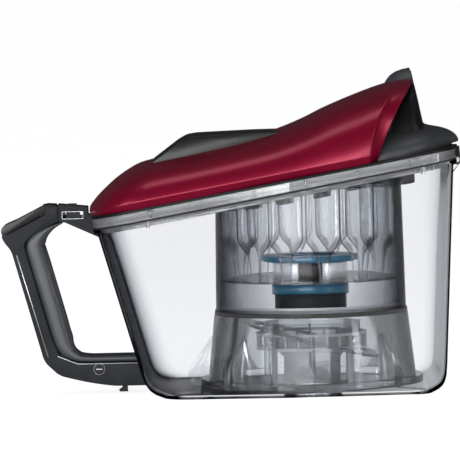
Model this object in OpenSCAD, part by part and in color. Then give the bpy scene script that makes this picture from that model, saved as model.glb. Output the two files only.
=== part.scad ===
// Dust bin of a cyclone vacuum cleaner: a clear tub with a carrying handle, and a hinged lid
// that carries the multi-cyclone unit. The origin is on the resting plane under the cyclone's
// vertical axis, +X runs to the rear (the hinge) and -X to the handle. Millimetres.

/* [Tub] */
// Greatest outer width of the tub at its base
tub_width = 182; // [178:1:188]
// Wall thickness of the clear tub
tub_wall = 2.6; // [2:0.2:3]
// Thickness of the tub's floor
tub_floor = 3; // [2.4:0.2:3.6]
// Height of the sloping rim plane above the cyclone's axis
rim_z = 153; // [151:0.5:155]
// Slope of the rim, rising to the rear
rim_angle = 9.84; // [9:0.2:10.6]

/* [Cyclone] */
// Radius of the drum round the cones, at its foot
drum_r = 71.3; // [69.5:0.1:72]
// Number of small cones in the ring
cone_count = 12; // [9:1:12]
// Outer radius of a cone's cylindrical top
cone_r = 12.9; // [11:0.1:13]
// Radius of the circle that the cones stand on
cone_ring_r = 53.6; // [52:0.2:54]
// Bore radius of the inlet tube in the floor
inlet_r = 19; // [17:0.5:20]

/* [Lid] */
// Bore radius of the clean-air outlet
outlet_r = 17; // [14:0.5:18]
// Wall thickness of the lid's shells
shell_t = 2.4; // [2:0.2:3]
// Height of the clear frame under the lid's shells
frame_h = 7; // [6:0.5:8]

/* [Handle] */
// Width of the handle across the hand
handle_w = 29; // [27:1:32]
// Radius of the lever's pivot pin
pin_r = 2; // [1.6:0.1:2.4]

/* [Fits] */
// Radial clearance of a running fit
run_gap = 0.05; // [0.02:0.01:0.08]

/* [Hidden] */

$fn = 64;
far = 400;
eps = 0.02;

// Tub walls: the front leans out by 15.86 degrees and the rear by 2.85.
front_foot = -122.5;
rear_foot = 97.7;
front_tan = tan(15.86);
rear_tan = tan(2.85);
side_tan = tan(0.8);
front_corner = 30;
rear_corner = 23;
side_bulge_r = 88;
side_bulge_x = -16;
flange_out = 2.4;
flange_t = 3.4;

function front_x(z) = front_foot - z * front_tan;
function rear_x(z) = rear_foot + z * rear_tan;
function half_w(z) = tub_width / 2 + z * side_tan;
// Height of the sloping plane that lies h above the rim plane, at a place along X
function rim_at(x, h = 0) = rim_z + x * tan(rim_angle) + h / cos(rim_angle);

// Lid hinge
hinge_x = 110.2;
hinge_z = 170;
knuckle_r = 3.8;
hinge_r = 2;
hinge_half = 34;
arm_in = 12;
arm_out = 23.6;

// Handle linkage
trigger_x = -191.5;
trigger_z = 137.6;
lever_x = -159.5;
lever_z = 18.4;
rod_angle = 15.34;
rod_top = [-216.9, 118.6];
slot_half = 3.6;
moving_half = 3;

// Outlet: the collar's axis points to the rear and tilts up.
outlet_tilt = 9.67;
outlet_pos = [81.2, 216.9];
outlet_ring = 22;

// One thin level of the tub's form, drawn in from the walls by inset
module tub_level(z, inset) {
    for (side = [-1, 1]) {
        translate([front_x(z) + front_corner, side * (half_w(z) - 5 - front_corner), z])
            cylinder(r = front_corner - inset, h = eps, $fn = 32);
        translate([rear_x(z) - rear_corner, side * (half_w(z) - 6 - rear_corner), z])
            cylinder(r = rear_corner - inset, h = eps, $fn = 32);
        translate([side_bulge_x, side * (half_w(z) - side_bulge_r), z])
            cylinder(r = side_bulge_r - inset, h = eps, $fn = 48);
    }
}

// The tub's outer form, drawn in by inset, from the floor up past the rim
module tub_form(inset = 0, floor_z = 0) {
    foot = [[0, 11], [2.5, 5.5], [6, 2.2], [12, 0.4], [20, 0]];
    hull() {
        for (level = foot)
            tub_level(floor_z + level[0], inset + level[1] * (1 - inset / 60));
        tub_level(200, inset);
    }
}

// A slab between two heights measured square to the rim plane
module rim_slab(low, high) {
    translate([0, 0, rim_z])
        rotate([0, -rim_angle, 0])
            translate([-far, -far / 2, low])
                cube([2 * far, far, high - low]);
}

// A slice of the tub's form between two heights above the rim plane
module rim_layer(inset, low, high) {
    intersection() {
        tub_form(inset);
        rim_slab(low, high);
    }
}

// An outline in the XZ plane, extruded across Y about the middle plane
module across(outline, width) {
    rotate([90, 0, 0])
        linear_extrude(height = width, center = true)
            polygon(outline);
}

module rod_y(x, z, r, width) {
    translate([x, 0, z])
        rotate([90, 0, 0])
            cylinder(r = r, h = width, center = true);
}

module tube(r_out, r_in, z0, z1) {
    translate([0, 0, z0])
        difference() {
            cylinder(r = r_out, h = z1 - z0);
            translate([0, 0, -1])
                cylinder(r = r_in, h = z1 - z0 + 2);
        }
}

// A skin over rings of equal length, each an outer arch followed by its inner arch backwards
module arch_shell(rings) {
    n = len(rings[0]);
    half = n / 2;
    m = len(rings);
    points = [for (ring = rings) for (p = ring) p];
    walls = [for (i = [0:m - 2]) for (j = [0:n - 1])
        let (k = (j + 1) % n)
        for (f = [[i * n + j, (i + 1) * n + j, (i + 1) * n + k],
                  [i * n + j, (i + 1) * n + k, i * n + k]]) f];
    caps = [for (j = [0:half - 2]) for (end = [0, m - 1])
        let (a = end * n + j, b = end * n + j + 1, c = end * n + n - 2 - j, d = end * n + n - 1 - j)
        for (f = (end == 0 ? [[a, b, c], [a, c, d]] : [[a, c, b], [a, d, c]])) f];
    polyhedron(points, concat(walls, caps), convexity = 6);
}

// One arch of a lid shell. The station is [foot x, crest x, crest z, half width].
function arch(station, t, foot_h, steps = 20) =
    let (xb = station[0], xt = station[1], w = station[3],
         zb = rim_at(xb, foot_h), h = station[2] - zb, power = 2 / 2.6)
    concat(
        [for (i = [0:steps]) arch_point(xb, xt, zb, w, h, 180 * i / steps, power)],
        [for (i = [steps:-1:0]) arch_point(xb, xt, zb, w - t, h - t, 180 * i / steps, power)]);

function arch_point(xb, xt, zb, w, h, a, power) =
    let (c = cos(a), s = sin(a), rise = pow(max(s, 0), power))
    [xb + (xt - xb) * rise, -sign(c) * w * pow(abs(c), power), zb + h * rise];

module spring(r, wire, length, turns) {
    steps = 12;
    sides = 6;
    total = turns * steps;
    function rise(i) = wire + (length - 2 * wire) * i / total;
    points = [for (i = [0:total]) for (j = [0:sides - 1])
        let (a = 360 * i / steps, b = 360 * j / sides)
        [(r + wire * cos(b)) * cos(a), (r + wire * cos(b)) * sin(a),
         rise(i) + wire * sin(b)]];
    walls = [for (i = [0:total - 1]) for (j = [0:sides - 1])
        let (k = (j + 1) % sides)
        for (f = [[i * sides + j, (i + 1) * sides + k, (i + 1) * sides + j],
                  [i * sides + j, i * sides + k, (i + 1) * sides + k]]) f];
    first = [[for (j = [sides - 1:-1:0]) j]];
    last = [[for (j = [0:sides - 1]) total * sides + j]];
    polyhedron(points, concat(walls, first, last), convexity = 8);
}

// ---------- Tub ----------

module bin_tub() {
    color([0.85, 0.88, 0.9, 0.35]) {
        difference() {
            union() {
                difference() {
                    tub_form();
                    rim_slab(0, far);
                }
                rim_layer(-flange_out, -flange_t, 0);
            }
            tub_form(tub_wall, tub_floor);
            translate([0, 0, -1])
                cylinder(r = inlet_r + 2.4, h = tub_floor + 2);
            translate([hinge_x - knuckle_r - 0.3, -arm_out - 0.4, hinge_z - 12])
                cube([20, 2 * arm_out + 0.8, 20]);
            rod_y(hinge_x, hinge_z, knuckle_r, 2 * hinge_half);
        }
        hinge_ears();
    }
}

// The tub's two ears, each a knuckle on a web that grows out of the rear wall
module hinge_ears() {
    ear_w = hinge_half - arm_out - 0.4;
    for (side = [-1, 1])
        translate([0, side * (hinge_half - ear_w / 2), 0])
            difference() {
                union() {
                    rod_y(hinge_x, hinge_z, knuckle_r, ear_w);
                    across([[rear_x(158) - 0.6, 158], [hinge_x + 1, hinge_z - 3.4],
                            [hinge_x, hinge_z], [rear_x(168) - 0.6, rim_at(105, 0) - 0.2]], ear_w);
                }
                rod_y(hinge_x, hinge_z, hinge_r, ear_w + 2);
            }
}

module rim_gasket() {
    color("dimgray")
        difference() {
            rim_layer(0, 0, 1);
            tub_form(tub_wall + 0.4);
            hinge_relief();
        }
}

module hinge_pin() {
    color("silver")
        rod_y(hinge_x, hinge_z, hinge_r, 2 * hinge_half);
}

// ---------- Dust collector in the tub's foot ----------

skirt_top = 57;
skirt_r = 72.6;
skirt_foot_r = 78.5;
fin_reach = 93.5;

module collector_ring() {
    color([0.75, 0.76, 0.78, 0.6]) {
        difference() {
            intersection() {
                union() {
                    translate([0, 0, tub_floor])
                        cylinder(r1 = skirt_foot_r, r2 = skirt_r, h = skirt_top - tub_floor);
                    translate([0, 0, tub_floor])
                        cylinder(r = skirt_foot_r + 5, h = 6);
                    for (a = [45:45:315])
                        rotate([0, 0, a])
                            fin(fin_reach);
                }
                tub_form(tub_wall + 0.2, tub_floor);
            }
            translate([0, 0, tub_floor - 1])
                cylinder(r1 = skirt_foot_r - 2.4, r2 = skirt_r - 2.4, h = skirt_top - tub_floor + 2);
        }
    }
}

// A triangular rib that braces the skirt, drawn along +X
module fin(reach) {
    translate([0, 1, 0])
        rotate([90, 0, 0])
            linear_extrude(height = 2)
                polygon([[skirt_r - 2, tub_floor], [reach, tub_floor], [reach, 20], [skirt_r, 43.5]]);
}

module collector_seal() {
    color("black")
        tube(skirt_r - 0.4, 66, skirt_top, 60);
}

module inlet_funnel() {
    color([0.8, 0.82, 0.84, 0.6])
        rotate_extrude()
            polygon([[inlet_r, 0], [inlet_r, 24], [34.4, 44], [34.4, 50], [36.6, 50], [36.6, 43],
                     [21.3, 23], [21.3, tub_floor + 2.2], [27, tub_floor + 2.2], [27, tub_floor],
                     [21.3, tub_floor], [21.3, 0]]);
}

module vane_ring() {
    vanes = 24;
    color("gainsboro") {
        tube(41.4, 38.4, 30, 32);
        tube(41.4, 38.4, 40.5, 42.5);
        for (i = [0:vanes - 1])
            rotate([0, 0, 360 * i / vanes])
                translate([38.6, -0.6, 31])
                    cube([2.6, 1.2, 10.5]);
        for (i = [0:3])
            rotate([0, 0, 45 + 90 * i])
                translate([38.6, -1.5, tub_floor])
                    cube([2.6, 3, 28]);
    }
}

module dust_baffle() {
    color([0.7, 0.72, 0.74, 0.6])
        difference() {
            union() {
                intersection() {
                    translate([0, 0, tub_floor])
                        cylinder(r = 52, h = 52);
                    translate([0, 0, 37])
                        rotate([0, 15.2, 0])
                            cube([130, 130, 2], center = true);
                }
                for (i = [0:3])
                    rotate([0, 0, 45 + 90 * i])
                        translate([47.5, 0, tub_floor])
                            cylinder(r = 2.2, h = 34 - tub_floor - 11 * cos(45 + 90 * i));
            }
            translate([0, 0, -1])
                cylinder(r = 42.4, h = 70);
        }
}

// ---------- Handle ----------

// The handle's outer edge runs from the nose down the grip and along the foot to the tub.
shell_outline = [[-225.6, 112.6], [-223.2, 108.4], [-200.4, 25.3], [-198.4, 21.5], [-195, 17.4],
    [-189.3, 14.3], [-175.9, 10.4], [-161, 6.8], [-146.8, 5.6], [-110, 5.6], [-110, 20.6],
    [-173, 20.6], [-181.5, 24.5], [-188, 33], [-207, 108], [-207.5, 114], [-204, 121.5],
    [-187.8, 129.6], [-187.8, 141.2], [-196.4, 141.2], [-196.8, 127.6]];
liner_outline = [[-182.8, 128.5], [-190, 126.2], [-195.6, 121.5], [-198.6, 115], [-198.4, 112],
    [-181.2, 47.4], [-177.7, 35.6], [-174.5, 31.3], [-169.5, 29.1], [-110, 29], [-110, 20.8],
    [-172.9, 20.8], [-181.3, 24.7], [-187.8, 33.1], [-206.8, 108], [-207.3, 114],
    [-203.8, 121.3], [-187.6, 129.4]];

module handle_shell() {
    color([0.16, 0.17, 0.19])
        difference() {
            across(shell_outline, handle_w);
            tub_form(-0.15);
            linkage_space();
            trigger_space();
            rod_y(lever_x, lever_z, pin_r, handle_w + 2);
            rod_y(trigger_x, trigger_z, pin_r, handle_w + 2);
            pin_recess();
            screw_places()
                screw_hole();
        }
}

module grip_liner() {
    color([0.26, 0.28, 0.31])
        difference() {
            across(liner_outline, handle_w - 1);
            tub_form(-0.15);
            linkage_space();
            pin_recess();
            screw_places()
                screw_hole();
        }
}

// The round recess that the lever pin's head sits in
module pin_recess() {
    translate([lever_x, -handle_w / 2, lever_z])
        rotate([90, 0, 0])
            cylinder(r = 4, h = 2.8, center = true);
}

// Room inside the handle for the rod, its foot and the lever, over their whole travel
module linkage_space() {
    rod_end = 96.5;
    width = 2 * slot_half;
    translate([rod_top[0], 0, rod_top[1]])
        rotate([0, 180 - rod_angle, 0])
            translate([-3.7, -slot_half, -12])
                cube([7.4, width, rod_end + 12]);
    across([[-196.6, 20.6], [-180.6, 20.6], [-180.6, 32.2], [-196.6, 32.2]], width);
    across([[-189.4, 15.2], [-166, 15.2], [-163.6, 10.4], [-152, 9.4], [-147.8, 7], [-147.8, 0],
            [-134.8, 0], [-134.8, 13], [-150, 25.2], [-189.4, 25.2]], width);
}

// Room over the shell's top edge for the trigger's pressed end, and between its lugs
module trigger_space() {
    across([[-188.2, 132.6], [-188.2, 150], [-230, 150], [-230, 112.9], [-225.6, 112.9],
            [-200.4, 126.2], [-196.9, 132.2]], handle_w - 8);
}

// Four places on the grip's outer face, with Z into the grip and X down along it
module screw_places() {
    translate([-223.2, 0, 108.4])
        rotate([0, 90 - rod_angle, 0])
            for (down = [14, 72])
                for (side = [-9, 9])
                    translate([down, side, 0])
                        children();
}

screw_sink = 2.6;
screw_len = 18;

// A screw's hole from the outer face into the liner, with a counterbore for its head
module screw_hole() {
    translate([0, 0, -1])
        cylinder(r = 3, h = screw_sink + 1);
    cylinder(r = 1.5, h = screw_len);
}

module handle_screws() {
    color("silver")
        screw_places()
            difference() {
                union() {
                    translate([0, 0, screw_sink - 1.8])
                        cylinder(r = 2.8, h = 1.8);
                    translate([0, 0, screw_sink - 0.1])
                        cylinder(r = 1.45, h = screw_len - screw_sink - 0.4);
                }
                translate([-2, -0.35, 0])
                    cube([4, 0.7, screw_sink - 1.1]);
            }
}

module lever_pin() {
    color("gray")
        difference() {
            union() {
                rod_y(lever_x, lever_z, pin_r, handle_w - 0.2);
                translate([lever_x, -handle_w / 2 + 1.35, lever_z])
                    rotate([90, 0, 0])
                        cylinder(r = 3.9, h = 1.3);
            }
            translate([lever_x, -handle_w / 2, lever_z])
                cube([6, 0.9, 0.8], center = true);
        }
}

module trigger_pin() {
    color("silver")
        rod_y(trigger_x, trigger_z, pin_r, handle_w - 0.4);
}

module trigger() {
    wide = handle_w - 1;
    narrow = handle_w - 9.4;
    color([0.1, 0.1, 0.11])
        difference() {
            union() {
                across([[-230.9, 122.4], [-230.4, 125.4], [-227.1, 128.1], [-219, 131.4],
                        [-197.4, 142.2], [-197.4, 135.6], [-225.4, 121.1], [-226.8, 119],
                        [-229.6, 119.4]], wide);
                across([[-199, 142], [-195.1, 142.7], [-189, 142.3], [-189, 134.8],
                        [-191.2, 133.6], [-199, 133.6]], narrow);
            }
            rod_y(trigger_x, trigger_z, pin_r + run_gap, handle_w);
            across([[-219, 126.2], [-199.4, 136.4], [-199.4, 133.5], [-199, 129], [-222, 118]], 2.2);
        }
}

module trigger_spring() {
    color("silver")
        translate([-206.2, 0, 123.4])
            rotate([0, -26.9, 0])
                spring(2.4, 0.45, 6.9, 4);
}

module pull_rod() {
    rod_len = 90;
    color("white") {
        translate([rod_top[0], 0, rod_top[1]])
            rotate([0, 180 - rod_angle, 0])
                translate([-2.4, -moving_half, 0])
                    cube([4.8, 2 * moving_half, rod_len]);
        across([[-195, 24.4], [-182.6, 24.4], [-182.6, 28.2], [-190.4, 31.5], [-195.4, 31.5]],
            2 * moving_half);
    }
}

module lock_lever() {
    color([0.1, 0.1, 0.11])
        difference() {
            union() {
                rod_y(lever_x, lever_z, 4.6, 2 * moving_half);
                across([[-187.4, 19], [-187.4, 24], [-160, 22.9], [-160, 14.2], [-166, 17.6]],
                    2 * moving_half);
                across([[-160, 22.9], [-156.8, 22], [-139.2, 10.4], [-138.6, 0.3], [-144.4, 0.3],
                        [-145.4, 1.6], [-142.6, 3.6], [-143.2, 8.4], [-160, 14]], 2 * moving_half);
            }
            rod_y(lever_x, lever_z, pin_r + run_gap, 20);
        }
}

module latch_housing() {
    pocket = [[-186.2, 130.4], [-168, 130.4], [-168, 138.2], [-186.2, 138.2]];
    color([0.3, 0.31, 0.33, 0.7])
        difference() {
            across([[-187.6, 129.8], [-187.6, 142.2], [-166.8, 140.4], [-166.8, 127],
                    [-162.8, 124.4], [-162.8, 120.8], [-140, 120.8], [-140, 112.4],
                    [-157, 116.9], [-182.6, 128.7]], handle_w - 3);
            tub_form(-0.15);
            across(pocket, 11.2);
            across([[-170, 130.6], [-160, 130.6], [-160, 134.2], [-170, 134.2]], 9.2);
            translate([-185, -2.6, 135])
                cube([16, 5.2, 10]);
        }
}

module latch_slider() {
    color([0.12, 0.12, 0.13])
        union() {
            across([[-181.8, 130.9], [-171.6, 130.9], [-171.6, 137.8], [-181.8, 137.8]], 10.4);
            across([[-172, 131.2], [-166.4, 131.2], [-166.4, 133.6], [-172, 133.6]], 8.4);
            across([[-180.6, 137.6], [-173.6, 137.6], [-174, 142.4], [-180.2, 142.4]], 4.6);
        }
}

module latch_spring() {
    color("silver")
        translate([-186.1, 0, 134.2])
            rotate([0, 90, 0])
                spring(2.2, 0.4, 4.2, 4);
}

// ---------- Lid ----------

// Room round the tub's hinge ears, which the lid turns about
module hinge_relief() {
    rod_y(hinge_x, hinge_z, knuckle_r + 0.5, 2 * hinge_half + 2);
}

module lid_frame() {
    rib_pitch = 38;
    color([0.85, 0.88, 0.9, 0.5])
        difference() {
            union() {
                difference() {
                    rim_layer(-1.6, 1.02, 1.02 + frame_h);
                    tub_form(4.8);
                    hinge_relief();
                }
                intersection() {
                    rim_layer(-2.3, 1.6, frame_h);
                    for (i = [-4:2])
                        translate([i * rib_pitch - 4, -far / 2, 0])
                            cube([1.4, far, far]);
                }
            }
            tub_form(4.8);
        }
}

// The ledge on the frame's front face that the latch's tooth locks over
module lid_catch() {
    color([0.85, 0.88, 0.9, 0.5])
        across([[-164.2, 127.6], [-164.2, 130.8], [front_x(131) - 1.6, 131],
                [front_x(127.2) - 1.6, 127.2]], 8);
}

module lid_base() {
    color([0.55, 0.57, 0.6, 0.7])
        difference() {
            rim_layer(tub_wall + 2.2, -3.5, 1 + frame_h);
            difference() {
                rim_layer(tub_wall + 4.4, -1.3, 20);
                rim_slab(-10, -1.3);
            }
            translate([0, 0, 100])
                cylinder(r = 63, h = 100);
            for (place = lid_screw_places)
                translate([place[0], place[1], 100])
                    cylinder(r = 1.6, h = 100);
        }
}

lid_screw_places = [[-120, -50], [-120, 50], [84, -58], [84, 58]];

module lid_screws() {
    color("silver")
        for (place = lid_screw_places) {
            top = rim_at(place[0], -1.3);
            translate([place[0], place[1], top + 1]) {
                cylinder(r = 3.2, h = 1.8);
                translate([0, 0, -7])
                    cylinder(r = 1.5, h = 7.5);
            }
        }
}

// The dark deck between the clear frame and the lid's shells, open over the cyclone
module lid_chassis() {
    chassis_low = 1.04 + frame_h;
    color([0.06, 0.06, 0.07])
        difference() {
            rim_layer(-0.6, chassis_low, chassis_low + 1.8);
            translate([0, 0, 100])
                cylinder(r = 60, h = 100);
        }
}

shell_foot = 2.9 + frame_h;

// Half width of the lid at a place along X, following the rim with round front corners
function lid_half(x) =
    let (wide = half_w(140) + 0.8, xf = -163.5 + 46)
    x < xf ? wide - 46 + sqrt(max(46 * 46 - (xf - x) * (xf - x), 0))
           : wide;

lid_stations = [[-163, -163.8, 139.6, 0.55], [-160, -159.5, 146, 0.8], [-153, -152, 153.6, 0.96],
    [-143, -141, 162.8, 1], [-128, -125.7, 171.6, 1], [-118, -117, 174, 1],
    [-90, -88, 179.6, 1], [-56, -54, 186.6, 1], [-29, -27.7, 193.2, 1], [-8, -5, 201.7, 1],
    [8, 12, 209.8, 1], [22, 32, 218, 1], [36, 55.5, 226.6, 0.98], [47.5, 76.2, 232.1, 0.95]];

module lid_shell() {
    rings = [for (s = lid_stations)
        arch([s[0], s[1], s[2], s[3] * lid_half(s[0])], shell_t, shell_foot)];
    color([0.45, 0.02, 0.13])
        difference() {
            arch_shell(rings);
            outlet_tube(outlet_ring + 0.4, -40, 10);
        }
}

module centre_panel() {
    half = 42;
    color([0.12, 0.12, 0.13])
        difference() {
            across([[-115.5, 175.1], [-95.4, 188.7], [-90.6, 191], [-86.3, 192.3], [-33.7, 193.6],
                    [-31.4, 193.1], [-56, 187.1], [-88.4, 180.1]], 2 * half);
            across([[-104, 179.5], [-94.6, 186.2], [-86, 189.8], [-50, 190.8], [-56, 189.4],
                    [-88.4, 182.3]], 2 * half - 5);
        }
}

dome_stations = [[49, 75.2, 226, 0.9], [56, 76.6, 227.5, 0.92], [68, 79.4, 224, 0.9],
    [77, 84.4, 196.4, 0.86], [88, 92, 195, 0.78], [97, 101, 193, 0.66], [103, 107.6, 190.8, 0.5],
    [107, 112.2, 187, 0.3]];

module rear_dome() {
    rings = [for (s = dome_stations)
        arch([s[0], s[1], s[2], s[3] * lid_half(0) * 0.98], shell_t, shell_foot)];
    color([0.17, 0.18, 0.19])
        difference() {
            arch_shell(rings);
            outlet_tube(outlet_ring + 0.05, -40, 30);
        }
}

// A cylinder on the outlet's axis, from low to high along it
module outlet_tube(r, low, high) {
    translate([outlet_pos[0], 0, outlet_pos[1]])
        rotate([0, 90 - outlet_tilt, 0])
            translate([0, 0, low])
                cylinder(r = r, h = high - low);
}

module outlet_collar() {
    color([0.17, 0.18, 0.19])
        difference() {
            outlet_tube(outlet_ring, -15, 0);
            outlet_tube(outlet_r, -16, 1);
            outlet_tube(outlet_r + 3, -1.6, 1);
        }
}

module outlet_seal() {
    color("black")
        difference() {
            outlet_tube(outlet_r + 3, -1.6, 0.6);
            outlet_tube(outlet_r + 0.6, -2, 1);
        }
}

module outlet_grid() {
    bar = 1.4;
    color("black")
        intersection() {
            outlet_tube(outlet_ring - 0.5, -17.2, -15);
            union() {
                difference() {
                    outlet_tube(outlet_ring, -18, 1);
                    outlet_tube(outlet_r + 1.5, -19, 2);
                }
                for (i = [-2:2])
                    translate([outlet_pos[0], 0, outlet_pos[1]])
                        rotate([0, 90 - outlet_tilt, 0]) {
                            translate([i * 6.4 - bar / 2, -30, -20])
                                cube([bar, 60, 10]);
                            translate([-30, i * 6.4 - bar / 2, -20])
                                cube([60, bar, 10]);
                        }
            }
        }
}

module lid_hinge_arms() {
    arm_w = arm_out - arm_in;
    color([0.1, 0.1, 0.11])
        for (side = [-1, 1])
            translate([0, side * (arm_in + arm_w / 2), 0])
                difference() {
                    union() {
                        rod_y(hinge_x, hinge_z, knuckle_r, arm_w);
                        across([[hinge_x - 1.6, hinge_z + 2], [hinge_x + 3.2, hinge_z + 2],
                                [hinge_x + 2.4, rim_at(108, 0.9 + frame_h)],
                                [rear_x(170), rim_at(108, 0.9 + frame_h)],
                                [rear_x(170), rim_at(108, 1.4)]], arm_w);
                    }
                    tub_form(-1.62);
                    rod_y(hinge_x, hinge_z, hinge_r + run_gap, arm_w + 2);
                }
}

// ---------- Cyclone unit, carried by the lid ----------

drum_top_r = drum_r - 2;
drum_foot = 60.3;

// Everything above a plane that lies h under or over the rim plane
module above_rim(h) {
    rim_slab(h, far);
}

module cyclone_drum() {
    color([0.8, 0.82, 0.85, 0.5])
        difference() {
            translate([0, 0, drum_foot])
                cylinder(r1 = drum_r, r2 = drum_top_r, h = 112);
            translate([0, 0, drum_foot - 1])
                cylinder(r1 = drum_r - 2, r2 = drum_top_r - 2, h = 114);
            above_rim(-3.55);
        }
}

module wedge_collar() {
    color([0.8, 0.82, 0.85, 0.5])
        difference() {
            translate([0, 0, 152])
                cylinder(r = 80, h = 30);
            translate([0, 0, 140])
                cylinder(r = drum_r + 0.1, h = 60);
            above_rim(-3.55);
        }
}

module cone_places() {
    for (i = [0:cone_count - 1])
        rotate([0, 0, 10 + 360 * i / cone_count])
            translate([cone_ring_r, 0, 0])
                children();
}

cone_wall = 1.2;

module cone_body() {
    color([0.9, 0.92, 0.94, 0.5])
        cone_places()
            rotate_extrude()
                polygon([[cone_r, 134], [cone_r, 114], [cone_r - 1.4, 110.6], [5.4, 102],
                         [4.6, 100], [2.9, 81.5], [2.9 - cone_wall, 81.5], [4.6 - cone_wall, 100],
                         [5.4 - cone_wall, 102.4], [cone_r - 1.4 - cone_wall, 111.4],
                         [cone_r - cone_wall, 114.6], [cone_r - cone_wall, 134]]);
}

module cyclone_top() {
    color([0.7, 0.72, 0.75, 0.8])
        difference() {
            union() {
                translate([0, 0, 134])
                    cylinder(r = 66.6, h = 2);
                cone_places()
                    translate([0, 0, 118])
                        cylinder(r = 6.2, h = 17);
            }
            cone_places()
                translate([0, 0, 110])
                    cylinder(r = 5.2, h = 40);
        }
}

module tip_plate() {
    color([0.6, 0.62, 0.65])
        difference() {
            tube(66.4, 26.1, 82, 83.8);
            cone_places()
                translate([0, 0, 70])
                    cylinder(r = 3.2, h = 20);
        }
}

module upper_disc() {
    color([0.16, 0.45, 0.6])
        union() {
            tube(36, 20, 97.6, 100);
            tube(36, 34.4, 95.4, 98);
        }
}

module core_barrel() {
    color("silver")
        tube(26, 23.6, 77.8, 97.6);
}

module core_band() {
    color([0.15, 0.43, 0.58])
        tube(29, 20, 71.8, 77.8);
}

module core_base() {
    color([0.35, 0.36, 0.38])
        tube(27, 24, 64.5, 71.8);
}

module bottom_plate() {
    color([0.75, 0.76, 0.78])
        difference() {
            translate([0, 0, 62.5])
                cylinder(r = drum_r - 2.1, h = 2);
            translate([0, 0, 50])
                cylinder(r = 24, h = 30);
            for (i = [0:5])
                rotate([0, 0, 30 + 60 * i])
                    translate([46, 0, 50])
                        cylinder(r = 8, h = 30);
        }
}

bin_tub();
rim_gasket();
collector_ring();
collector_seal();
inlet_funnel();
vane_ring();
dust_baffle();
hinge_pin();
handle_shell();
grip_liner();
latch_housing();
handle_screws();
lever_pin();
trigger_pin();
trigger();
trigger_spring();
pull_rod();
lock_lever();
latch_slider();
latch_spring();
lid_frame();
lid_base();
lid_chassis();
lid_shell();
centre_panel();
rear_dome();
outlet_collar();
outlet_seal();
outlet_grid();
lid_catch();
lid_hinge_arms();
lid_screws();
wedge_collar();
cyclone_drum();
cyclone_top();
cone_body();
tip_plate();
upper_disc();
core_barrel();
core_band();
core_base();
bottom_plate();
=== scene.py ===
# %% [markdown]
# # A clear dust bin, finished in Blender
# The CAD model gives the sizes, the moving bodies and the places. This script loads it as a
# fixed frame and builds the parts you see around it: thin clear walls, a lacquered lid, a
# soft-cornered handle. Everything is in metres, with Z up and the handle towards -X.

# %% Load the frame
import math
import bmesh
import bpy
from mathutils import Matrix, Vector


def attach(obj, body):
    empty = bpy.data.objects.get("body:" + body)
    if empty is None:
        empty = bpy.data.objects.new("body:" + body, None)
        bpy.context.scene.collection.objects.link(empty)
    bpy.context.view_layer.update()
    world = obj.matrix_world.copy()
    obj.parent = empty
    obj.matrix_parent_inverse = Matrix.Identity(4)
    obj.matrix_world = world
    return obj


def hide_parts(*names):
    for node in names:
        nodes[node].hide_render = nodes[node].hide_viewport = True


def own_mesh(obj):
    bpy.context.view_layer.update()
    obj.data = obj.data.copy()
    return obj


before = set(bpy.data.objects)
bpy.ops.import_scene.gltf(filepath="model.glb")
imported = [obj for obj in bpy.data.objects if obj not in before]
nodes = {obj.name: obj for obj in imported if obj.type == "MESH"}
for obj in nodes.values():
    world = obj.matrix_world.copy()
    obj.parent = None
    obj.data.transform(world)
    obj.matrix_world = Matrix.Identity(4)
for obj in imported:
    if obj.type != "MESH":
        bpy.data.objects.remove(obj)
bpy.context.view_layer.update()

MM = 0.001

# %% [markdown]
# ## Camera
# A long lens far away keeps the side view flat, as in a catalogue. The camera looks down by
# three degrees, and a small roll lifts the rear of the bin.

# %% Camera
AIM = Vector((-59.4, 0, 119.7)) * MM
DISTANCE, LOOK_DOWN, ROLL = 3.5, math.radians(3.0), math.radians(-1.3)
VIEW_WIDTH = 0.345

camera = bpy.data.objects.new("camera", bpy.data.cameras.new("camera"))
bpy.context.scene.collection.objects.link(camera)
camera.data.sensor_width = 36
camera.data.lens = camera.data.sensor_width * DISTANCE / VIEW_WIDTH
camera.data.clip_end = 1000
camera.location = AIM + Vector((0, -math.cos(LOOK_DOWN), math.sin(LOOK_DOWN))) * DISTANCE
facing = Matrix.Rotation(math.pi / 2 - LOOK_DOWN, 4, "X") @ Matrix.Rotation(ROLL, 4, "Z")
camera.rotation_euler = facing.to_euler()
bpy.context.scene.camera = camera
print("lens", round(camera.data.lens), "mm")

# %% [markdown]
# ## Stage and light
# Clear plastic shows only what it bends and mirrors, so the light is built from large soft
# boxes with darker gaps between them. The gaps draw the dark lines along the edges.

# %% Helpers for nodes
def new_material(name):
    material = bpy.data.materials.new(name)
    material.use_nodes = True
    material.node_tree.nodes.clear()
    return material, material.node_tree


def add(tree, kind, *inputs, **named):
    """A new node. Each input, by order or by name, is a value, an output to link from, or a
    node whose first output is linked."""
    node = tree.nodes.new("ShaderNode" + kind)
    for key, value in [*enumerate(inputs), *named.items()]:
        if isinstance(key, str) and hasattr(node, key):
            setattr(node, key, value)
            continue
        socket = node.inputs[key.replace("_", " ") if isinstance(key, str) else key]
        if isinstance(value, bpy.types.Node):
            value = value.outputs[0]
        if isinstance(value, bpy.types.NodeSocket):
            tree.links.new(value, socket)
        else:
            socket.default_value = value
    return node


def shade(colour):
    return (*colour, 1.0)


def ramp(tree, fac, *stops):
    """Colours at places along 0 to 1, read at fac. The first and last stop come first."""
    node = add(tree, "ValToRGB", Fac=fac)
    elements = node.color_ramp.elements
    for k, (place, colour) in enumerate(stops):
        stop = elements[k] if k < 2 else elements.new(place)
        stop.position, stop.color = place, shade(colour)
    return node


# %% [markdown]
# The world is plain white where the camera sees it, also through clear plastic. As a lamp it
# is dim, and in mirrors it is nearly black, so that only the soft boxes make highlights.

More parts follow.
